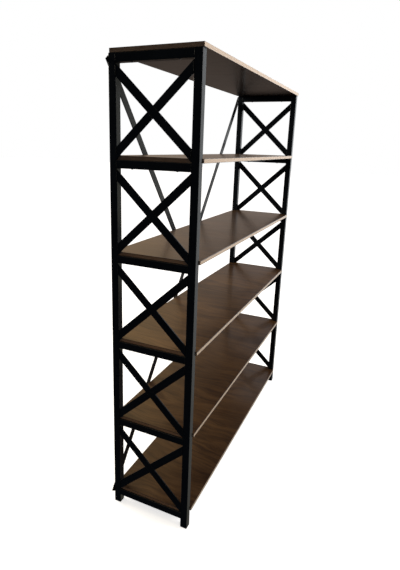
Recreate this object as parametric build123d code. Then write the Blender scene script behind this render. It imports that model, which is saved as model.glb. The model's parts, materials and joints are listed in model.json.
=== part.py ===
from build123d import *
from math import acos, atan2, cos, degrees, hypot, radians, sin
import os

# Loft bookcase: two welded steel side frames with an X brace in every bay, six
# plywood boards across them, and two long flat bars crossed over the back.
# Millimetres. +Z is up, +X is to the right and -Y is the open front. The origin
# is on the floor, under the middle of the whole bookcase.

# ---------------------------------------------------------------- driving sizes
WIDTH = 1400.0               # over the outer faces of the two side frames
FRAME_DEPTH = 353.0          # over the front and rear faces of the posts
FRAME_HEIGHT = 1835.0        # floor to the top of the posts
LEG_HEIGHT = 40.0            # floor to the underside of the lowest rail
LEVELS = 6                   # rails on each side frame, and boards

TUBE = 30.0                  # square tube of the posts and rails
TUBE_WALL = 1.5
TUBE_CORNER = 2.5            # outside corner radius of the tube

BAR_WIDTH = 30.0             # flat bar of every brace
BAR_THICKNESS = 4.0
BRACE_CLEARANCE = 4.0        # from a brace's edge to the corner of its opening

BOARD_THICKNESS = 15.0
BOARD_OVERHANG = 5.0         # the boards stand this far in front of the posts
BOARD_EASING = 0.6           # small chamfer along the long edges
NOTCH_CLEARANCE = 1.0        # between a board's notch and the post in it
END_CLEARANCE = 1.0          # between a board's end and the flat bars

SCREW_DIAMETER = 4.0         # wood screws, from under the rail into the board
SCREW_LENGTH = 40.0
SCREW_POINT = 4.0
SCREW_HEAD_DIAMETER = 8.4
SCREW_HEAD_HEIGHT = 2.8
SCREW_HEAD_RIM = 1.1         # straight side of the head, under its dome
SCREW_RECESS = (4.6, 0.9, 1.6)   # length, width and depth of the cross recess
SCREW_TIP_RADIUS = 0.3
SCREW_SPACING = 180.0        # between the two screws of one rail

BOLT_DIAMETER = 6.0          # bolts that hold the rear braces to the posts
BOLT_HEAD_FLATS = 10.0
BOLT_HEAD_HEIGHT = 4.0
BOLT_GRIP_IN_NUT = 13.0      # length of bolt beyond the post's rear face
BOLT_DROP = 25.0             # upper bolts, below the top of the posts
BOLT_RISE = 60.0             # lower bolts, above the floor
BOLT_HOLE = 6.4
BOLT_CHAMFER = 0.8           # at the tip, and around the corners of the head
WASHER_DIAMETER = 12.0
WASHER_THICKNESS = 1.6
BAR_TAIL = 20.0              # a rear brace runs on this far past its bolts
BAR_CHAMFER = 1.0            # at the corners of a rear brace

NUT_BODY_DIAMETER = 9.0      # rivet nuts in the rear walls of the rear posts
NUT_BULGE_DIAMETER = 11.5
NUT_BULGE_HEIGHT = 3.0
NUT_LENGTH = 12.0
NUT_FLANGE_DIAMETER = 13.0
NUT_FLANGE_THICKNESS = 0.8

PLUG_FLANGE = 4.0            # plastic end plugs, the only thing on the floor
PLUG_DEPTH = 16.0
PLUG_BODY = 24.0
PLUG_WALL = 2.0
PLUG_RIBS = 3
PLUG_RIB_HEIGHT = 1.2
PLUG_CHAMFER = 0.8           # around the sole

# ---------------------------------------------------------------- derived sizes
# The braces, washers and bolt heads stand behind the posts, so the frame sits a
# little forward of the origin and the whole bookcase is centred on it.
REAR_STACK = NUT_FLANGE_THICKNESS + 2 * BAR_THICKNESS + WASHER_THICKNESS + BOLT_HEAD_HEIGHT
TOTAL_DEPTH = BOARD_OVERHANG + FRAME_DEPTH + REAR_STACK
BOARD_FRONT = -TOTAL_DEPTH / 2
FRAME_FRONT = BOARD_FRONT + BOARD_OVERHANG
FRAME_REAR = FRAME_FRONT + FRAME_DEPTH
FRAME_MIDDLE = (FRAME_FRONT + FRAME_REAR) / 2

OUTER_X = WIDTH / 2
POST_X = OUTER_X - TUBE / 2
FRONT_POST_Y = FRAME_FRONT + TUBE / 2
REAR_POST_Y = FRAME_REAR - TUBE / 2
RAIL_LENGTH = FRAME_DEPTH - 2 * TUBE
PITCH = (FRAME_HEIGHT - TUBE - LEG_HEIGHT) / (LEVELS - 1)
RAIL_BOTTOMS = [LEG_HEIGHT + PITCH * level for level in range(LEVELS)]
BOLT_HEIGHTS = (BOLT_RISE, FRAME_HEIGHT - BOLT_DROP)
SIDES = {"left": -1, "right": 1}


# ---------------------------------------------------------------- small helpers
def square_tube(length):
    """A hollow square tube along +Z, standing on the origin."""
    bore = TUBE - 2 * TUBE_WALL
    outside = RectangleRounded(TUBE, TUBE, TUBE_CORNER)
    inside = RectangleRounded(bore, bore, TUBE_CORNER - TUBE_WALL)
    return extrude(outside - inside, length)


def rod(radius, length):
    """A plain round bar along +Z, standing on the origin."""
    return extrude(Circle(radius), length)


def ring(outer_radius, inner_radius, length):
    """A plain round ring along +Z, standing on the origin."""
    return extrude(Circle(outer_radius) - Circle(inner_radius), length)


def pointing_forward(shape):
    """Turn a fastener built along +Z so that it points to the front, along -Y."""
    return Rot(90, 0, 0) * shape


def save(name, solids):
    """Write one node: a single solid, or a group of separate ones."""
    shape = solids[0] if len(solids) == 1 else Compound(children=solids)
    shape.label = name
    export_step(shape, os.path.join("parts", name + ".step"))


# ---------------------------------------------------------------- side frames
def screw_places():
    """Y of the two screws in every rail."""
    return [FRAME_MIDDLE - SCREW_SPACING / 2, FRAME_MIDDLE + SCREW_SPACING / 2]


def post(side, y):
    """One upright. A rear one has a hole in its rear wall for each rivet nut."""
    shape = Pos(side * POST_X, y, PLUG_FLANGE) * square_tube(FRAME_HEIGHT - PLUG_FLANGE)
    if y == REAR_POST_Y:
        drill = pointing_forward(rod(NUT_BODY_DIAMETER / 2, 2 * TUBE_WALL))
        for z in BOLT_HEIGHTS:
            shape -= Pos(side * POST_X, FRAME_REAR + TUBE_WALL / 2, z) * drill
    return shape


def rail(side, bottom):
    """One cross rail between the posts, drilled for the screws of its board."""
    start = (side * POST_X, FRAME_FRONT + TUBE, bottom + TUBE / 2)
    shape = Pos(*start) * Rot(-90, 0, 0) * square_tube(RAIL_LENGTH)
    drill = rod(SCREW_DIAMETER / 2, TUBE)
    for y in screw_places():
        shape -= Pos(side * POST_X, y, bottom) * drill
    return shape


def brace_outline(bottom, rising):
    """The four corners (y, z) of a flat bar across the bay above a rail.

    The bar's ends are cut upright against the posts. Its long edges pass close
    to two opposite corners of the opening, so its slope follows from its width.
    """
    low = bottom + TUBE + BRACE_CLEARANCE
    high = bottom + PITCH - BRACE_CLEARANCE
    room = high - low
    slope = acos(BAR_WIDTH / hypot(RAIL_LENGTH, room)) - atan2(RAIL_LENGTH, room)
    cut = BAR_WIDTH / cos(slope)
    front, rear = FRAME_FRONT + TUBE, FRAME_REAR - TUBE
    if rising:
        front, rear = rear, front
    return [(rear, high), (front, low + cut), (front, low), (rear, high - cut)]


def brace_bar(side, outline):
    """A flat bar with this outline, flush with the outer face of the frame."""
    face = Plane.YZ * make_face(Polyline(*outline, close=True))
    start = OUTER_X - BAR_THICKNESS if side > 0 else -OUTER_X
    return Pos(start, 0, 0) * extrude(face, BAR_THICKNESS, dir=(1, 0, 0))


def side_frame(name, side):
    """Write every piece of one welded side frame."""
    save(name + "_front_post", [post(side, FRONT_POST_Y)])
    save(name + "_rear_post", [post(side, REAR_POST_Y)])
    for level, bottom in enumerate(RAIL_BOTTOMS, start=1):
        save(f"{name}_rail_{level}", [rail(side, bottom)])
    for bay, bottom in enumerate(RAIL_BOTTOMS[:-1], start=1):
        whole = brace_bar(side, brace_outline(bottom, rising=False))
        halves = brace_bar(side, brace_outline(bottom, rising=True)) - whole
        save(f"{name}_brace_{bay}", [whole])
        save(f"{name}_cut_brace_{bay}", list(halves.solids()))


# ---------------------------------------------------------------- end plugs
def foot_plug():
    """A square plastic end plug: a flange on the floor and a ribbed hollow body."""
    shape = extrude(RectangleRounded(TUBE, TUBE, TUBE_CORNER), PLUG_FLANGE)
    shape = chamfer(shape.edges().group_by(Axis.Z)[0], PLUG_CHAMFER)
    cup = Rectangle(PLUG_BODY, PLUG_BODY)
    cup -= Rectangle(PLUG_BODY - 2 * PLUG_WALL, PLUG_BODY - 2 * PLUG_WALL)
    shape += Pos(0, 0, PLUG_FLANGE) * extrude(cup, PLUG_DEPTH)
    bore = TUBE - 2 * TUBE_WALL
    rib = RectangleRounded(bore, bore, TUBE_CORNER - TUBE_WALL)
    rib -= Rectangle(PLUG_BODY - PLUG_WALL, PLUG_BODY - PLUG_WALL)
    step = PLUG_DEPTH / PLUG_RIBS
    for number in range(PLUG_RIBS):
        height = PLUG_FLANGE + step * (number + 0.5)
        shape += Pos(0, 0, height) * extrude(rib, PLUG_RIB_HEIGHT)
    return shape


def foot_plugs():
    """The four plugs, one in the foot of each post."""
    return [Pos(side * POST_X, y, 0) * foot_plug()
            for side in SIDES.values() for y in (FRONT_POST_Y, REAR_POST_Y)]


# ---------------------------------------------------------------- boards
def board(half_length, bottom, notched):
    """One plywood board that rests on the rails and covers their whole depth."""
    corner = (-half_length, BOARD_FRONT, bottom)
    low_corner = (Align.MIN, Align.MIN, Align.MIN)
    shape = Pos(*corner) * Box(2 * half_length, FRAME_DEPTH, BOARD_THICKNESS, align=low_corner)
    shape = chamfer(shape.edges().filter_by(Axis.X), BOARD_EASING)
    reach = TUBE + 2 * NOTCH_CLEARANCE
    notch = Box(reach, reach, 2 * BOARD_THICKNESS)
    drill = rod(SCREW_DIAMETER / 2, SCREW_LENGTH - TUBE)
    for side in SIDES.values():
        if notched:
            for y in (FRONT_POST_Y, REAR_POST_Y):
                outward = TUBE / 2 if y == REAR_POST_Y else -TUBE / 2
                shape -= Pos(side * POST_X, y, bottom) * notch
                shape -= Pos(side * POST_X, y + outward, bottom) * notch
        for y in screw_places():
            shape -= Pos(side * POST_X, y, bottom) * drill
    return shape


def wood_screw():
    """A pan-head wood screw pointing up: the head's seat is at the origin."""
    radius, head = SCREW_DIAMETER / 2, SCREW_HEAD_DIAMETER / 2
    rim, top = (head, -SCREW_HEAD_RIM), (0, -SCREW_HEAD_HEIGHT)
    rise = SCREW_HEAD_HEIGHT - SCREW_HEAD_RIM
    profile = Polyline((0, 0), (head, 0), rim)
    dome = RadiusArc(rim, top, (head ** 2 + rise ** 2) / (2 * rise))
    back = Line(top, (0, 0))
    shape = revolve(Plane.XZ * make_face(profile + dome + back), Axis.Z)
    shape += rod(radius, SCREW_LENGTH - SCREW_POINT)
    middle = SCREW_LENGTH - SCREW_POINT / 2
    shape += Pos(0, 0, middle) * Cone(radius, SCREW_TIP_RADIUS, SCREW_POINT)
    length, width, depth = SCREW_RECESS
    for angle in (0, 90):
        shape -= Pos(0, 0, -SCREW_HEAD_HEIGHT) * Rot(0, 0, angle) * Box(length, width, 2 * depth)
    return shape


def board_screws(bottom):
    """The four screws of one board, two up through each of its rails."""
    return [Pos(side * POST_X, y, bottom) * wood_screw()
            for side in SIDES.values() for y in screw_places()]


def boards():
    """Write the six boards and their screws, from the floor up."""
    names = ["bottom_board"] + [f"shelf_{number}" for number in range(1, LEVELS - 1)]
    for level, (name, bottom) in enumerate(zip(names, RAIL_BOTTOMS), start=1):
        half_length = OUTER_X - BAR_THICKNESS - END_CLEARANCE
        save(name, [board(half_length, bottom + TUBE, notched=True)])
        save(f"board_screws_{level}", board_screws(bottom))
    save("top_board", [board(OUTER_X, FRAME_HEIGHT, notched=False)])
    save(f"board_screws_{LEVELS}", board_screws(RAIL_BOTTOMS[-1]))


# ---------------------------------------------------------------- rear braces
def rear_bar(layer, direction):
    """A long flat bar across the back. Layer 0 is next to the posts, 1 behind it."""
    rise = BOLT_HEIGHTS[1] - BOLT_HEIGHTS[0]
    span = hypot(2 * POST_X, rise)
    shape = Box(span + 2 * BAR_TAIL, BAR_THICKNESS, BAR_WIDTH)
    shape = chamfer(shape.edges().filter_by(Axis.Y), BAR_CHAMFER)
    hole = pointing_forward(Cylinder(BOLT_HOLE / 2, 2 * BAR_THICKNESS))
    for end in (-1, 1):
        shape -= Pos(end * span / 2, 0, 0) * hole
    tilt = degrees(atan2(rise, 2 * POST_X))
    y = FRAME_REAR + NUT_FLANGE_THICKNESS + (layer + 0.5) * BAR_THICKNESS
    return Pos(0, y, sum(BOLT_HEIGHTS) / 2) * Rot(0, -direction * tilt, 0) * shape


def hex_bolt(grip):
    """A hexagon bolt: its head's seat is at the origin and its shank is along +Z."""
    radius = BOLT_HEAD_FLATS / 2 / cos(radians(30))
    head = extrude(RegularPolygon(radius, 6), BOLT_HEAD_HEIGHT)
    top = radius - BOLT_CHAMFER
    trim = Cone(top + BOLT_HEAD_HEIGHT, top, BOLT_HEAD_HEIGHT)
    shape = Rot(180, 0, 0) * (head & Pos(0, 0, BOLT_HEAD_HEIGHT / 2) * trim)
    shank = rod(BOLT_DIAMETER / 2, grip + BOLT_GRIP_IN_NUT)
    return shape + chamfer(shank.edges().sort_by(Axis.Z)[-1], BOLT_CHAMFER)


def rivet_nut():
    """A rivet nut: flange outside the wall at the origin, body along +Z inside."""
    shape = rod(NUT_BODY_DIAMETER / 2, NUT_LENGTH)
    shape += Pos(0, 0, TUBE_WALL) * rod(NUT_BULGE_DIAMETER / 2, NUT_BULGE_HEIGHT)
    shape += Pos(0, 0, -NUT_FLANGE_THICKNESS) * rod(NUT_FLANGE_DIAMETER / 2, NUT_FLANGE_THICKNESS)
    return shape - Pos(0, 0, -NUT_LENGTH / 2) * rod(BOLT_DIAMETER / 2, 2 * NUT_LENGTH)


def rear_fasteners():
    """Write the bolts, washers, spacers and rivet nuts of the two rear braces.

    The falling bar lies on the rivet nuts. The rising bar lies over it, so a
    spacer ring fills the gap at each of its ends.
    """
    bolts, washers, spacers, nuts = [], [], [], []
    seat = FRAME_REAR + NUT_FLANGE_THICKNESS
    washer = ring(WASHER_DIAMETER / 2, BOLT_HOLE / 2, WASHER_THICKNESS)
    spacer = ring(WASHER_DIAMETER / 2, BOLT_HOLE / 2, BAR_THICKNESS)
    for side in SIDES.values():
        for z in BOLT_HEIGHTS:
            rising = (side > 0) == (z == BOLT_HEIGHTS[1])
            outer = seat + (2 * BAR_THICKNESS if rising else BAR_THICKNESS) + WASHER_THICKNESS
            x = side * POST_X
            bolts.append(Pos(x, outer, z) * pointing_forward(hex_bolt(outer - FRAME_REAR)))
            washers.append(Pos(x, outer, z) * pointing_forward(washer))
            nuts.append(Pos(x, FRAME_REAR, z) * pointing_forward(rivet_nut()))
            if rising:
                spacers.append(Pos(x, seat + BAR_THICKNESS, z) * pointing_forward(spacer))
    save("rear_brace_bolts", bolts)
    save("rear_brace_washers", washers)
    save("rear_brace_spacers", spacers)
    save("rear_brace_rivet_nuts", nuts)


# ---------------------------------------------------------------- the whole part
os.makedirs("parts", exist_ok=True)
for side_name, side_sign in SIDES.items():
    side_frame(side_name, side_sign)
save("foot_plugs", foot_plugs())
boards()
save("rear_brace_rising", [rear_bar(1, 1)])
save("rear_brace_falling", [rear_bar(0, -1)])
rear_fasteners()
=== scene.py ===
import json
import math

import bmesh
import bpy
from mathutils import Matrix, Vector


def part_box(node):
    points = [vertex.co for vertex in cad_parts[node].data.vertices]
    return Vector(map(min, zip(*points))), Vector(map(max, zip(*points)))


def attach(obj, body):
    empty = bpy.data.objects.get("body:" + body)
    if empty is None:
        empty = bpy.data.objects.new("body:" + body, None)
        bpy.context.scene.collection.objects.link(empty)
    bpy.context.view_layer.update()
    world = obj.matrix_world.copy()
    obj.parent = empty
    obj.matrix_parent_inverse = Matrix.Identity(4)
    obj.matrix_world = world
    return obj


# The looks of the loft bookcase: black powder-coated steel frames with weld
# beads, stained plywood boards with raw edges, and bolted bars over the back.
# Metres, in the frame of the CAD model: -Y is the open front, +Z is up.

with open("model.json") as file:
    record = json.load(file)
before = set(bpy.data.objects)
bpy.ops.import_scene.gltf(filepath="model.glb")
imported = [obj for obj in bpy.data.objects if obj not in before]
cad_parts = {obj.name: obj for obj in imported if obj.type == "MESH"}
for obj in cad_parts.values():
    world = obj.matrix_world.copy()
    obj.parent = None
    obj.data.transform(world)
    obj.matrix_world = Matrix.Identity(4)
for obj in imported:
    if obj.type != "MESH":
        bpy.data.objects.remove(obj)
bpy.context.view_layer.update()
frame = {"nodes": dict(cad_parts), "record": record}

# ---------------------------------------------------------------- the pieces
SIDES = {"left": -1, "right": 1}
BOARDS = ["bottom_board", "shelf_1", "shelf_2", "shelf_3", "shelf_4", "top_board"]
LEVELS = len(BOARDS)

# ---------------------------------------------------------------- weld beads
BEAD_STEP = 0.0008           # between the rings of a bead
BEAD_SIDES = 8
BEAD_RIPPLE = 0.0024         # from one ripple to the next
BEAD_SWELL = 0.0061          # along the bead, for each radian of its slow swelling
BEAD_UNEVEN = 0.10           # how much the ripples add to its size, and the swell too
BEAD_PHASE = 2.3             # keeps two beads from swelling in step
BEAD_TAPER = 1.2             # length of its tapered ends, in half widths
BEAD_BLUNT = 0.0002          # gives its end rings a size
GROOVE_DEPTH = 0.0012        # how deep in the post the beads on flush faces lie

# Half the width of a bead, and its height.
RAIL_BEAD = (0.0026, 0.0019)
UNDER_RAIL_BEAD = (0.0026, 0.0020)
INNER_BAR_BEAD = (0.0024, 0.0018)
OUTER_BAR_BEAD = (0.0022, 0.0018)
CROSSING_BEAD = (0.0020, 0.0007)

# How far a bead stays from the edges of what it joins.
RAIL_MARGIN = 0.003
RAIL_FOOT_MARGIN = 0.002
BAR_MARGIN = 0.001
BOARD_MARGIN = 0.003

# ---------------------------------------------------------------- camera and floor
CAMERA_PLACE = Vector((-2.079, -0.7825, 1.5386))
CAMERA_YAW = math.radians(65.34)      # from straight into the back, towards +X
CAMERA_PITCH = math.radians(-15.14)
CAMERA_ROLL = math.radians(1.73)
CAMERA_LENS = 28.175
CAMERA_SENSOR = 36.0
CAMERA_SHIFT = (0.0223, -0.0329)

FLOOR_SIZE = 60.0
FLOOR_TONES = ((0.86, 0.86, 0.86), (0.90, 0.90, 0.90))
FLOOR_GLOW = (0.72, 1.0)             # near and far: lifts the floor to the backdrop's white
FLOOR_GLOW_REACH = (0.8, 4.0)        # where near ends and far begins

# ---------------------------------------------------------------- light
# The key light stands before the open front and the window light behind the back.
WHITE = (1.0, 1.0, 1.0)
KEY = {"place": (0.8, -2.9, 3.1), "target": (0.1, 0.0, 1.3), "size": 1.9,
       "radiance": 9.0, "colour": (1.0, 0.96, 0.92)}
WINDOW = {"place": (-0.35, 2.3, 2.5), "target": (-0.35, 0.0, 0.7), "size": 1.4,
          "radiance": 10.5, "colour": (1.0, 0.94, 0.78)}

# The dim room that the world stands for, and the azimuths of its patches, in degrees from
# +X towards +Y.
ROOM_DARK = (0.022, 0.034, 0.052)
ROOM_WALL = (0.41, 0.34, 0.29)
ROOM_WALL_HIGH = (0.07, 0.035, 0.012)
ROOM_FLOOR = (0.115, 0.088, 0.072)
ROOM_LEFT_HIGH = (0.62, 0.50, 0.36)
ROOM_LAMP = (0.62, 0.43, 0.21)
ROOM_FAR = (0.15, 0.145, 0.155)
ROOM_FAR_HIGH = (0.40, 0.37, 0.37)
ROOM_DOOR = (1.55, 1.61, 1.66)
ROOM_FRONT = (0.60, 0.58, 0.43)
WALL_AZIMUTH = 45
LEFT_AZIMUTH = 180
LAMP_AZIMUTH = 40
FAR_AZIMUTH = 12
DOOR_AZIMUTH = -14
FRONT_AZIMUTH = -40

# ---------------------------------------------------------------- metal and plastic
STEEL_COLOUR = (0.0056, 0.0068, 0.0088)
STEEL_PATCHES = 1.5                  # how much lighter the coat is in patches
STEEL_WORN = (0.030, 0.031, 0.033)
DUST_COLOUR = (0.035, 0.034, 0.032)
WELD_SPOTS = (0.014, 0.014, 0.015)
ZINC_BLUE = (0.55, 0.57, 0.60)
ZINC_YELLOW = (0.64, 0.61, 0.54)
OXIDE_DARK = (0.012, 0.012, 0.014)
OXIDE_WORN = (0.055, 0.052, 0.050)
PLASTIC_COLOUR = (0.009, 0.009, 0.010)
PLASTIC_SCUFFED = (0.030, 0.030, 0.030)

# ---------------------------------------------------------------- plywood
STAIN_DARK = (0.022, 0.0088, 0.0032)
STAIN_LIGHT = (0.101, 0.0515, 0.0195)
STAIN_ON_ENDS = (0.36, 0.18, 0.075)
KNOT_COLOUR = (0.010, 0.005, 0.0025)
PLY_LIGHT = (0.84, 0.635, 0.45)
PLY_DARK = (0.58, 0.385, 0.235)
GLUE_LINE = (0.20, 0.105, 0.05)
PLIES = 11

# How much lighter each board's faces are, if not 1: painted light on shelf_1 and shelf_2, which
# stands in for light falling on them.
FACE_PAINTED_LIGHT = {"shelf_1": 1.08, "shelf_2": 1.40}
# How much darker each board's short ends are, if not 1: painted shade on the ends of the upper
# boards.
END_PAINTED_SHADE = {"top_board": 0.35, "shelf_4": 0.35, "shelf_3": 0.75}

# How far the stain runs down the raw edges. It runs further down the edges of the lower four
# boards than the top two, which darkens them: painted shade.
STAIN_WRAP_AND_SHADE = {"top_board": 0.0006, "shelf_4": 0.0010}
USUAL_WRAP_AND_SHADE = 0.0020
WRAP_FADE = 0.0005
WRAP_RAGGED = 0.0008

# A side face nearer a board's end than this is its short end: partly, and fully.
END_REACH = (0.012, 0.004)

# How much each layer of the veneer lightens the stained wood, or darkens it.
STAIN_BASE = -0.19
BLOTCHES = 1.05
STREAKS = 0.90
FIBRES = 0.95
RINGS = 0.11
VEINS = -0.30
PORES = -0.45
GRAIN_BEND = 0.34            # how far the slow waves push the grain aside
RING_TURN = 62.0             # radians of rings over the full range of their noise
KNOTS_KEPT = 0.56            # the share of the knot cells that hold a knot


# ================================================================ node helpers
class Tree:
    """A small writer for a shader's nodes."""

    def __init__(self, owner):
        owner.use_nodes = True
        self.tree = owner.node_tree
        self.tree.nodes.clear()

    def node(self, kind, inputs=None, **settings):
        """Add a node. Inputs are numbers, colours or the sockets that feed them."""
        made = self.tree.nodes.new(kind)
        for key, value in settings.items():
            setattr(made, key, value)
        for key, value in (inputs or {}).items():
            self.feed(made.inputs[key], value)
        return made

    def feed(self, socket, value):
        """Give a socket a constant, or link another socket to it."""
        if isinstance(value, bpy.types.NodeSocket):
            self.tree.links.new(value, socket)
        elif socket.type == "RGBA":
            socket.default_value = (*value, 1.0) if len(value) == 3 else value
        else:
            socket.default_value = value

    def math(self, operation, first, second=0.0, third=0.0, clamp=False):
        """One step of arithmetic."""
        inputs = {0: first, 1: second, 2: third}
        return self.node("ShaderNodeMath", inputs, operation=operation, use_clamp=clamp).outputs[0]

    def times(self, first, second):
        return self.math("MULTIPLY", first, second)

    def centred(self, value):
        """Move a noise's middle to 0."""
        return self.math("SUBTRACT", value, 0.5)

    def vector(self, operation, first, second=(0, 0, 0), output=0):
        """One step of vector arithmetic."""
        made = self.node("ShaderNodeVectorMath", {0: first, 1: second}, operation=operation)
        return made.outputs[output]

    def noise(self, place, detail=3.0, roughness=0.55):
        """Smooth noise around 0.5, whose features are about one unit of place wide."""
        inputs = {"Vector": place, "Scale": 1.0, "Detail": detail, "Roughness": roughness}
        return self.node("ShaderNodeTexNoise", inputs).outputs["Fac"]

    def range(self, value, low, high, to_low=0.0, to_high=1.0):
        """Map low..high smoothly to to_low..to_high, and hold the ends."""
        inputs = {"Value": value, "From Min": low, "From Max": high,
                  "To Min": to_low, "To Max": to_high}
        made = self.node("ShaderNodeMapRange", inputs, interpolation_type="SMOOTHSTEP")
        return made.outputs["Result"]

    def mix(self, share, first, second):
        """The first colour where share is 0, and the second where it is 1."""
        inputs = {0: share, 6: first, 7: second}
        return self.node("ShaderNodeMix", inputs, data_type="RGBA").outputs[2]

    def place(self, scale=(1, 1, 1), shift=(0, 0, 0)):
        """The point on the surface, in the frame's metres, stretched by scale."""
        spot = self.node("ShaderNodeTexCoord").outputs["Object"]
        return self.vector("ADD", self.vector("MULTIPLY", spot, scale), shift)

    def bump(self, height, depth, strength=1.0, normal=None):
        """A normal that follows this relief, on top of another normal if one is given."""
        inputs = {"Height": height, "Distance": depth, "Strength": strength}
        if normal is not None:
            inputs["Normal"] = normal
        return self.node("ShaderNodeBump", inputs).outputs[0]

    def surface(self, **inputs):
        """Close the tree with a Principled shader."""
        named = {key.replace("_", " "): value for key, value in inputs.items()}
        shader = self.node("ShaderNodeBsdfPrincipled", named)
        self.node("ShaderNodeOutputMaterial", {"Surface": shader.outputs[0]})


def new_material(name):
    made = bpy.data.materials.new(name)
    return made, Tree(made)


def facing(tree):
    """The surface's normal as three sizes: how much it faces X, Y and Z."""
    normal = tree.node("ShaderNodeNewGeometry").outputs["Normal"]
    sizes = tree.vector("ABSOLUTE", normal)
    split = tree.node("ShaderNodeSeparateXYZ", {0: sizes})
    return split.outputs[0], split.outputs[1], split.outputs[2]


# ================================================================ materials
def powder_coat():
    """Satin black powder coat: orange peel, dust, and rubbed tube corners."""
    made, t = new_material("black_powder_coat")
    across, deep, up = facing(t)
    largest = t.math("MAXIMUM", t.math("MAXIMUM", across, deep), up)
    corner = t.range(largest, 0.985, 0.80)
    patches = t.noise(t.place((6, 6, 6)), 4.0)
    scuffs = t.noise(t.place((90, 90, 90)), 5.0, 0.7)
    rubbed = t.times(corner, t.range(scuffs, 0.50, 0.66))
    rubbed = t.times(rubbed, t.range(patches, 0.42, 0.62, 0.10, 0.75))
    dust_spots = t.noise(t.place((38, 38, 38)), 6.0, 0.65)
    dust = t.times(t.range(up, 0.6, 1.0), t.range(dust_spots, 0.35, 0.75, 0.05, 0.5))
    lighter = tuple(STEEL_PATCHES * part for part in STEEL_COLOUR)
    tone = t.mix(t.range(patches, 0.3, 0.7), STEEL_COLOUR, lighter)
    tone = t.mix(rubbed, tone, STEEL_WORN)
    tone = t.mix(dust, tone, DUST_COLOUR)
    gloss = t.math("ADD", t.range(patches, 0.25, 0.75, 0.22, 0.31), t.times(dust, 0.3))
    gloss = t.math("ADD", gloss, t.times(rubbed, 0.12))
    peel = t.noise(t.place((420, 420, 420)), 2.0)
    grain = t.noise(t.place((2200, 2200, 2200)), 2.0)
    relief = t.bump(peel, 0.00012, 0.55, t.bump(grain, 0.00003, 0.5))
    t.surface(Base_Color=tone, Roughness=gloss, Normal=relief, Specular_IOR_Level=0.22)
    return made


def weld_metal():
    """A painted-over weld bead: the same coat, rougher and in spots."""
    made, t = new_material("painted_weld")
    spots = t.noise(t.place((700, 700, 700)), 3.0)
    tone = t.mix(t.range(spots, 0.4, 0.7), STEEL_COLOUR, WELD_SPOTS)
    t.surface(Base_Color=tone, Roughness=t.range(spots, 0.3, 0.7, 0.46, 0.64),
              Normal=t.bump(spots, 0.0001, 0.6), Specular_IOR_Level=0.16)
    return made


def zinc_plate():
    """Bright zinc: grey, faintly blue and yellow in patches, and finely drawn."""
    made, t = new_material("zinc_plate")
    patches = t.noise(t.place((160, 160, 160)), 3.0)
    drawn = t.noise(t.place((900, 900, 4000)), 2.0)
    tone = t.mix(t.range(patches, 0.35, 0.65), ZINC_BLUE, ZINC_YELLOW)
    t.surface(Base_Color=tone, Metallic=1.0, Normal=t.bump(drawn, 0.00004, 0.5),
              Roughness=t.range(drawn, 0.3, 0.7, 0.26, 0.42))
    return made


def black_oxide():
    """Blackened steel with a trace of oil, worn a little where it was turned."""
    made, t = new_material("black_oxide")
    patches = t.noise(t.place((240, 240, 240)), 4.0, 0.65)
    tone = t.mix(t.range(patches, 0.45, 0.75), OXIDE_DARK, OXIDE_WORN)
    t.surface(Base_Color=tone, Metallic=0.6, Normal=t.bump(patches, 0.00006, 0.5),
              Roughness=t.range(patches, 0.3, 0.7, 0.30, 0.48))
    return made


def plug_plastic():
    """Black polyethylene with a fine moulded texture and scuffs."""
    made, t = new_material("plug_plastic")
    texture = t.noise(t.place((1800, 1800, 1800)), 2.0)
    scuffs = t.noise(t.place((130, 130, 130)), 5.0, 0.7)
    tone = t.mix(t.range(scuffs, 0.52, 0.72), PLASTIC_COLOUR, PLASTIC_SCUFFED)
    t.surface(Base_Color=tone, Roughness=t.range(scuffs, 0.4, 0.7, 0.48, 0.66),
              Normal=t.bump(texture, 0.00006, 0.6), Specular_IOR_Level=0.35)
    return made


# ================================================================ plywood
def bent_grain(t, shift):
    """The point on the surface, pushed across the grain by slow waves."""
    warp = t.noise(t.place((2.2, 1.3, 1.0), shift), 3.0)
    push = t.node("ShaderNodeCombineXYZ", {0: t.times(warp, GRAIN_BEND)}).outputs[0]
    return t.vector("ADD", t.place((1, 1, 1), shift), push)


def veneer(t, bent, face_painted_light):
    """The stained wood, whose layers run along Y, with its fibres and its relief."""

    def layer(scale, detail, roughness=0.55):
        return t.noise(t.vector("MULTIPLY", bent, scale), detail, roughness)

    blotches = layer((5.0, 2.2, 1.0), 4.0, 0.6)
    streaks = layer((60.0, 3.5, 1.0), 5.0, 0.65)
    fibres = layer((520.0, 16.0, 1.0), 3.0, 0.6)
    rings = t.math("SINE", t.times(layer((7.0, 0.9, 1.0), 2.0, 0.45), RING_TURN))
    veins = t.range(layer((170.0, 4.5, 1.0), 3.0, 0.6), 0.53, 0.63)
    pores = t.range(layer((1300.0, 60.0, 1.0), 1.0), 0.66, 0.76)

    share = t.math("MULTIPLY_ADD", blotches, BLOTCHES, STAIN_BASE)
    for pattern, amount in ((t.centred(streaks), STREAKS), (t.centred(fibres), FIBRES),
                            (rings, RINGS), (veins, VEINS)):
        share = t.math("MULTIPLY_ADD", pattern, amount, share)
    share = t.math("MULTIPLY_ADD", pores, PORES, share, clamp=True)
    # On some boards the stain is made lighter: painted light.
    stained = t.mix(share, STAIN_DARK, tuple(face_painted_light * part for part in STAIN_LIGHT))
    relief = t.math("SUBTRACT", t.math("MULTIPLY_ADD", fibres, 0.5, streaks), pores)
    return stained, fibres, relief


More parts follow.
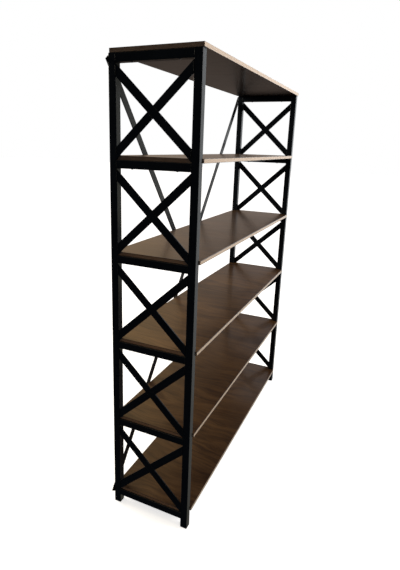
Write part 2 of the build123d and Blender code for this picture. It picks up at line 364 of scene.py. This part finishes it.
def with_knots(t, shift, bent, stained):
    """Add short dark dashes, and knots with a dark halo in some cells of a sparse grid."""
    cells = t.node("ShaderNodeTexVoronoi", {"Vector": t.place((4.2, 4.2, 0.0), shift),
                                            "Scale": 1.0, "Randomness": 1.0})
    draw = t.node("ShaderNodeSeparateColor", {0: cells.outputs["Color"]}).outputs[0]
    kept = t.math("LESS_THAN", draw, KNOTS_KEPT)
    outline = t.noise(t.place((90, 60, 1), shift), 3.0)
    ragged = t.math("MULTIPLY_ADD", outline, 0.030, cells.outputs["Distance"])
    knot = t.times(kept, t.range(ragged, 0.056, 0.036))
    halo = t.times(kept, t.range(ragged, 0.13, 0.03, 0.0, 0.45))
    dashes = t.noise(t.vector("MULTIPLY", bent, (240.0, 26.0, 1.0)), 1.0)
    here = t.range(t.noise(t.place((6, 6, 1), shift), 2.0), 0.52, 0.66)
    stained = t.mix(t.times(here, t.range(dashes, 0.70, 0.76)), stained, KNOT_COLOUR)
    stained = t.mix(halo, stained, STAIN_DARK)
    return t.mix(knot, stained, KNOT_COLOUR)


def raw_edge(t, shift, height, underside, thickness):
    """Plies of long and end grain in turn, with thin glue lines, and their relief."""
    wander = t.noise(t.place((9, 9, 30), shift), 2.0)
    ply = t.times(t.math("SUBTRACT", height, underside), PLIES / thickness)
    ply = t.math("MULTIPLY_ADD", t.centred(wander), 0.35, ply)
    odd = t.range(t.math("PINGPONG", ply, 1.0), 0.30, 0.70)
    glue = t.range(t.math("PINGPONG", t.math("ADD", ply, 0.5), 0.5), 0.10, 0.0)
    along = t.noise(t.place((26, 26, 900), shift), 4.0)
    end_grain = t.noise(t.place((1500, 1500, 500), shift), 2.0)
    raw = t.mix(t.times(odd, 0.65), PLY_LIGHT, PLY_DARK)
    raw = t.mix(t.range(along, 0.35, 0.75, 0.0, 0.28), raw, PLY_DARK)
    raw = t.mix(t.times(odd, t.range(end_grain, 0.4, 0.7, 0.0, 0.3)), raw, GLUE_LINE)
    raw = t.mix(t.times(glue, 0.55), raw, GLUE_LINE)
    relief = t.math("SUBTRACT", t.times(end_grain, odd), glue)
    return raw, along, relief


def plywood(name, seed):
    """Stained plywood with raw edges. The face grain runs from front to back."""
    made, t = new_material(name)
    shift = (seed * 3.7, seed * 1.9, seed * 5.3)
    low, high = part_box(name)
    thickness = high[2] - low[2]
    spot = t.node("ShaderNodeSeparateXYZ", {0: t.place()})
    from_middle, height = t.math("ABSOLUTE", spot.outputs[0]), spot.outputs[2]
    bent = bent_grain(t, shift)
    stained, fibres, face_relief = veneer(t, bent, FACE_PAINTED_LIGHT.get(name, 1.0))
    stained = with_knots(t, shift, bent, stained)
    raw, along, edge_relief = raw_edge(t, shift, height, low[2], thickness)

    # The short ends took the stain. The sides of the notches were cut later and stayed raw.
    at_end = t.range(from_middle, *(high[0] - reach for reach in END_REACH))
    soaked = t.times(t.range(facing(t)[0], 0.5, 0.9), t.range(along, 0.30, 0.70, 0.95, 0.72))
    # The short ends of the upper boards are made darker: painted shade.
    end_painted_shade = END_PAINTED_SHADE.get(name, 1.0)
    end_stain_and_shade = tuple(end_painted_shade * part for part in STAIN_ON_ENDS)
    raw = t.mix(t.times(soaked, at_end), raw, end_stain_and_shade)

    # On all the edges, the stain of the faces stops at a ragged line.
    off_middle = t.math("ABSOLUTE", t.math("SUBTRACT", height, low[2] + thickness / 2))
    ragged = t.noise(t.place((60, 60, 40), shift), 3.0)
    ragged_line = t.math("MULTIPLY_ADD", ragged, WRAP_RAGGED, off_middle)
    # The longer wrap on the lower boards darkens their edges: painted shade.
    stop = thickness / 2 - STAIN_WRAP_AND_SHADE.get(name, USUAL_WRAP_AND_SHADE)
    face = t.range(ragged_line, stop, stop + WRAP_FADE)

    smear = t.noise(t.place((11, 7, 1), shift), 4.0)
    gloss = t.mix(face, (0.62, 0.62, 0.62), (0.34, 0.34, 0.34))
    gloss = t.math("MULTIPLY_ADD", t.centred(fibres), 0.12, gloss)
    gloss = t.math("MULTIPLY_ADD", t.centred(smear), 0.10, gloss)
    relief = t.mix(face, edge_relief, face_relief)
    t.surface(Base_Color=t.mix(face, raw, stained), Roughness=gloss,
              Normal=t.bump(relief, 0.00012, 0.45), Coat_Weight=0.55, Coat_Roughness=0.20,
              Specular_IOR_Level=0.45)
    return made


# ================================================================ which piece gets which
def dress(node, material):
    """Give a CAD node one material all over."""
    mesh = frame["nodes"][node].data
    mesh.materials.clear()
    mesh.materials.append(material)


def dress_nodes():
    """Give every CAD node its finish, by its material slot in the record."""
    finishes = {"black_steel": powder_coat(), "black_hardware": black_oxide(),
                "zinc_hardware": zinc_plate(), "plug_plastic": plug_plastic()}
    for entry in frame["record"]["subparts"]:
        if entry["material_slot"] in finishes:
            dress(entry["node"], finishes[entry["material_slot"]])
    for seed, name in enumerate(BOARDS, start=1):
        dress(name, plywood(name, seed))


# ================================================================ weld beads
def bead(form, number, start, end, aside, outward, size):
    """A rippled seam along start-end. Its size is half its width aside, and its height."""
    width, height = size
    start = Vector(start)
    run = Vector(end) - start
    steps = max(4, round(run.length / BEAD_STEP))
    turns = [2 * math.pi * side / BEAD_SIDES for side in range(BEAD_SIDES)]
    rings = []
    for step in range(steps + 1):
        travel = run.length * step / steps
        ripple = BEAD_UNEVEN * math.cos(2 * math.pi * travel / BEAD_RIPPLE)
        wander = BEAD_UNEVEN * math.sin(travel / BEAD_SWELL + BEAD_PHASE * number)
        from_end = min(travel, run.length - travel) + BEAD_BLUNT
        taper = min(1.0, math.sqrt(from_end / (BEAD_TAPER * width)))
        swell = (1.0 + ripple + wander) * taper
        middle = start + run * (step / steps)
        rings.append([form.verts.new(middle + aside * (math.cos(turn) * width * swell)
                                     + outward * (math.sin(turn) * height * swell))
                      for turn in turns])
    for low, high in zip(rings, rings[1:]):
        for side in range(BEAD_SIDES):
            after = (side + 1) % BEAD_SIDES
            form.faces.new((low[side], low[after], high[after], high[side])).smooth = True
    form.faces.new(rings[0][::-1])
    form.faces.new(rings[-1])


def bar_corners(node):
    """The (y, z) corners of the flat bar in this node, and its two ends in y."""
    points = {(round(v.co.y, 5), round(v.co.z, 5)) for v in frame["nodes"][node].data.vertices}
    ends = (min(y for y, z in points), max(y for y, z in points))
    return points, ends


def rail_seams(side, level):
    """Where a rail meets its two posts: flush on both sides, a corner underneath."""
    low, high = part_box(f"{side}_rail_{level}")
    foot, top = low[2] + RAIL_FOOT_MARGIN, high[2] - RAIL_MARGIN
    for y, inward in ((low[1], 1), (high[1], -1)):
        for x, out in ((low[0], -1), (high[0], 1)):
            place = (x - out * GROOVE_DEPTH, y - inward * GROOVE_DEPTH)
            outward = Vector((out, 0, 0))
            yield (*place, foot), (*place, top), Vector((0, 1, 0)), outward, RAIL_BEAD
        start = (low[0] + RAIL_MARGIN, y, low[2])
        end = (high[0] - RAIL_MARGIN, y, low[2])
        aside = Vector((0, inward, 1)).normalized()
        yield start, end, aside, Vector((0, inward, -1)).normalized(), UNDER_RAIL_BEAD


def brace_seams(side, bay):
    """Where the flat bars of one bay meet the posts and each other.

    At a post, each bar has a small bead behind it and a full one along its outer face. The
    full one starts above the board.
    """
    sign = SIDES[side]
    low_corner, high_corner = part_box(f"{side}_brace_{bay}")
    inner, outer = (low_corner[0], high_corner[0])[::sign]
    above_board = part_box(BOARDS[bay - 1])[1][2] + BOARD_MARGIN
    for node in (f"{side}_brace_{bay}", f"{side}_cut_brace_{bay}"):
        points, ends = bar_corners(node)
        for y, inward in zip(ends, (1, -1)):
            heights = [z for at, z in points if at == y]
            foot, top = min(heights) + BAR_MARGIN, max(heights) - BAR_MARGIN
            place = (inner - sign * GROOVE_DEPTH, y - inward * GROOVE_DEPTH)
            outward = Vector((sign, 0, 0))
            yield (*place, foot), (*place, top), Vector((0, 1, 0)), outward, INNER_BAR_BEAD
            start, end = (outer, y, max(foot, above_board)), (outer, y, top)
            aside = Vector((sign, inward, 0)).normalized()
            outward = Vector((-sign, inward, 0)).normalized()
            yield start, end, aside, outward, OUTER_BAR_BEAD
    # The corners of the cut bar that aren't at a post lie along the crossing.
    crossing = sorted((p for p in points if p[0] not in ends), key=lambda p: p[0] - p[1])
    for first, last in (crossing[:2], crossing[2:]):
        along = Vector((0, last[0] - first[0], last[1] - first[1])).normalized()
        for x, out in ((inner, sign), (outer, -sign)):
            outward = Vector((out, 0, 0))
            yield (x, *first), (x, *last), along.cross(outward), outward, CROSSING_BEAD


def weld_piece(name, seams, finish):
    """One object that holds the beads of these seams."""
    form = bmesh.new()
    for number, seam in enumerate(seams):
        bead(form, number, *seam)
    mesh = bpy.data.meshes.new(name)
    form.to_mesh(mesh)
    form.free()
    mesh.materials.append(finish)
    piece = bpy.data.objects.new(name, mesh)
    bpy.context.scene.collection.objects.link(piece)
    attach(piece, "root")


def make_welds():
    """Every rail and every bay gets one piece with its beads."""
    finish = weld_metal()
    for side in SIDES:
        for level in range(1, LEVELS + 1):
            weld_piece(f"{side}_rail_welds_{level}", rail_seams(side, level), finish)
        for bay in range(1, LEVELS):
            weld_piece(f"{side}_brace_welds_{bay}", brace_seams(side, bay), finish)


# ================================================================ camera, floor, light
def make_camera():
    """A camera at eye level before the left front corner, rolled about its own axis."""
    data = bpy.data.cameras.new("camera")
    camera = bpy.data.objects.new("camera", data)
    bpy.context.scene.collection.objects.link(camera)
    bpy.context.scene.camera = camera
    data.lens = CAMERA_LENS
    data.sensor_width = CAMERA_SENSOR
    data.shift_x, data.shift_y = CAMERA_SHIFT
    look = Vector((math.sin(CAMERA_YAW) * math.cos(CAMERA_PITCH),
                   math.cos(CAMERA_YAW) * math.cos(CAMERA_PITCH), math.sin(CAMERA_PITCH)))
    camera.rotation_mode = "QUATERNION"
    level = look.to_track_quat("-Z", "Y").to_matrix().to_4x4()
    camera.rotation_quaternion = (level @ Matrix.Rotation(CAMERA_ROLL, 4, "Z")).to_quaternion()
    camera.location = CAMERA_PLACE


def make_floor():
    """A plain pale floor. It takes shadows but throws no light back up."""
    mesh = bpy.data.meshes.new("floor")
    form = bmesh.new()
    bmesh.ops.create_grid(form, x_segments=8, y_segments=8, size=FLOOR_SIZE / 2)
    form.to_mesh(mesh)
    form.free()
    floor = bpy.data.objects.new("floor", mesh)
    bpy.context.scene.collection.objects.link(floor)
    made, t = new_material("pale_floor")
    tone = t.mix(t.noise(t.place((0.7, 0.7, 0.7)), 2.0), *FLOOR_TONES)
    reach = t.vector("LENGTH", t.place(), output="Value")
    glow = t.range(reach, *FLOOR_GLOW_REACH, *FLOOR_GLOW)
    t.surface(Base_Color=tone, Roughness=0.9, Specular_IOR_Level=0.1,
              Emission_Color=WHITE, Emission_Strength=glow)
    mesh.materials.append(made)
    floor.visible_glossy = False
    floor.visible_diffuse = False


def make_world():
    """A white backdrop, for the camera alone.

    As a light it is a dim room: a wall and its floor at the back right, a lamp before that
    wall, a pale patch beside it, a bright door at the right, a dull glow at the front right
    and a warm one high on the left.
    """
    world = bpy.data.worlds.new("studio")
    bpy.context.scene.world = world
    t = Tree(world)
    way = t.node("ShaderNodeTexCoord").outputs["Generated"]
    up = t.node("ShaderNodeSeparateXYZ", {0: way}).outputs[2]
    level = t.vector("NORMALIZE", t.vector("MULTIPLY", way, (1.0, 1.0, 0.0)))

    def patch(tone, colour, azimuth, spread, *heights):
        """Paint a colour over the tone around an azimuth, and where all the heights let it.

        The spread is two cosines of the angle to the azimuth: none of the patch, and all.
        Each entry of heights is two sines of an elevation and, if they are not 0 and 1, the
        patch's shares there.
        """
        turn = math.radians(azimuth)
        spot = (math.cos(turn), math.sin(turn), 0.0)
        share = t.range(t.vector("DOT_PRODUCT", level, spot, output="Value"), *spread)
        for height in heights:
            share = t.times(share, t.range(up, *height))
        return t.mix(share, tone, colour)

    wall = t.mix(t.range(up, 0.05, 0.62), ROOM_WALL, ROOM_WALL_HIGH)
    far = t.mix(t.range(up, 0.36, 0.48), ROOM_FAR, ROOM_FAR_HIGH)
    tone = patch(ROOM_DARK, wall, WALL_AZIMUTH, (-0.1, 0.9), (-0.20, 0.12, 0.12, 1.0))
    tone = patch(tone, ROOM_FLOOR, WALL_AZIMUTH, (-0.1, 0.9), (0.02, -0.16))
    tone = patch(tone, ROOM_LEFT_HIGH, LEFT_AZIMUTH, (0.0, 0.7), (0.50, 0.75))
    tone = patch(tone, ROOM_LAMP, LAMP_AZIMUTH, (0.955, 0.99), (0.12, 0.40), (0.75, 0.58))
    tone = patch(tone, far, FAR_AZIMUTH, (0.992, 0.998), (0.17, 0.28))
    tone = patch(tone, ROOM_DOOR, DOOR_AZIMUTH, (0.93, 0.985), (-0.85, 0.15), (0.85, 0.5))
    tone = patch(tone, ROOM_FRONT, FRONT_AZIMUTH, (0.966, 0.988), (0.25, 0.0))

    light = t.node("ShaderNodeBackground", {"Color": tone, "Strength": 1.0})
    shown = t.node("ShaderNodeBackground", {"Color": WHITE, "Strength": 1.0})
    seen = t.node("ShaderNodeLightPath").outputs["Is Camera Ray"]
    both = t.node("ShaderNodeMixShader", {0: seen, 1: light.outputs[0], 2: shown.outputs[0]})
    t.node("ShaderNodeOutputWorld", {"Surface": both.outputs[0]})


def soft_box(name, place, target, size, radiance, colour):
    """A square area light of this radiance at place, turned to target."""
    data = bpy.data.lights.new(name, "AREA")
    data.shape = "SQUARE"
    data.size = size
    data.energy = radiance * math.pi * size * size
    data.color = colour
    lamp = bpy.data.objects.new(name, data)
    lamp.location = place
    lamp.rotation_mode = "QUATERNION"
    lamp.rotation_quaternion = (Vector(target) - Vector(place)).to_track_quat("-Z", "Y")
    bpy.context.scene.collection.objects.link(lamp)


bpy.context.scene.view_settings.view_transform = "Standard"
make_camera()
make_floor()
make_world()
soft_box("key", **KEY)
soft_box("window", **WINDOW)
dress_nodes()
make_welds()
